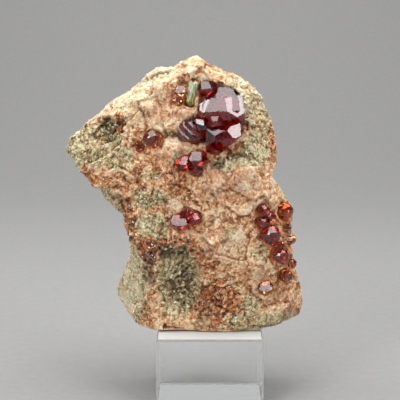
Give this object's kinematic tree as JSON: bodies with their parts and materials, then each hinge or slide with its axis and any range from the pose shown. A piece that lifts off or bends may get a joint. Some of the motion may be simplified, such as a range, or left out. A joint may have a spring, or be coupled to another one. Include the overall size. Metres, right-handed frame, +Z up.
{
  "type": "garnet in matrix",
  "caption": "Mineral hand specimen: deep red and orange garnet crystals on a pale green and brown host rock, standing on a clear square display block.",
  "frame": {"origin": "centre of the display block's underside", "axes": "+Z up, -Y towards the crystal face of the stone, +X to the right when it is seen from the front"},
  "size_m": [0.091, 0.0534, 0.1293],
  "materials": {
    "host_rock": "matte",
    "red_garnet": "polished",
    "orange_garnet": "gloss",
    "diopside": "satin",
    "acrylic": "polished"
  },
  "bodies": {
    "root": {"display_block": "acrylic", "matrix": "host_rock", "diopside_prism": "diopside", "garnet_main": "red_garnet", "garnet_upper_small": "red_garnet", "garnet_upper_left": "orange_garnet", "garnet_left": "orange_garnet", "garnet_left_tiny": "red_garnet", "garnet_lower_pair": "red_garnet", "garnet_middle": "red_garnet", "garnet_right_cluster": "red_garnet", "garnet_right_round": "orange_garnet", "garnet_right_orange": "orange_garnet", "garnet_right_edge": "orange_garnet", "garnet_right_lower": "red_garnet", "garnet_right_red": "red_garnet", "garnet_right_pink": "orange_garnet", "garnet_low": "orange_garnet"}
  },
  "joints": []
}
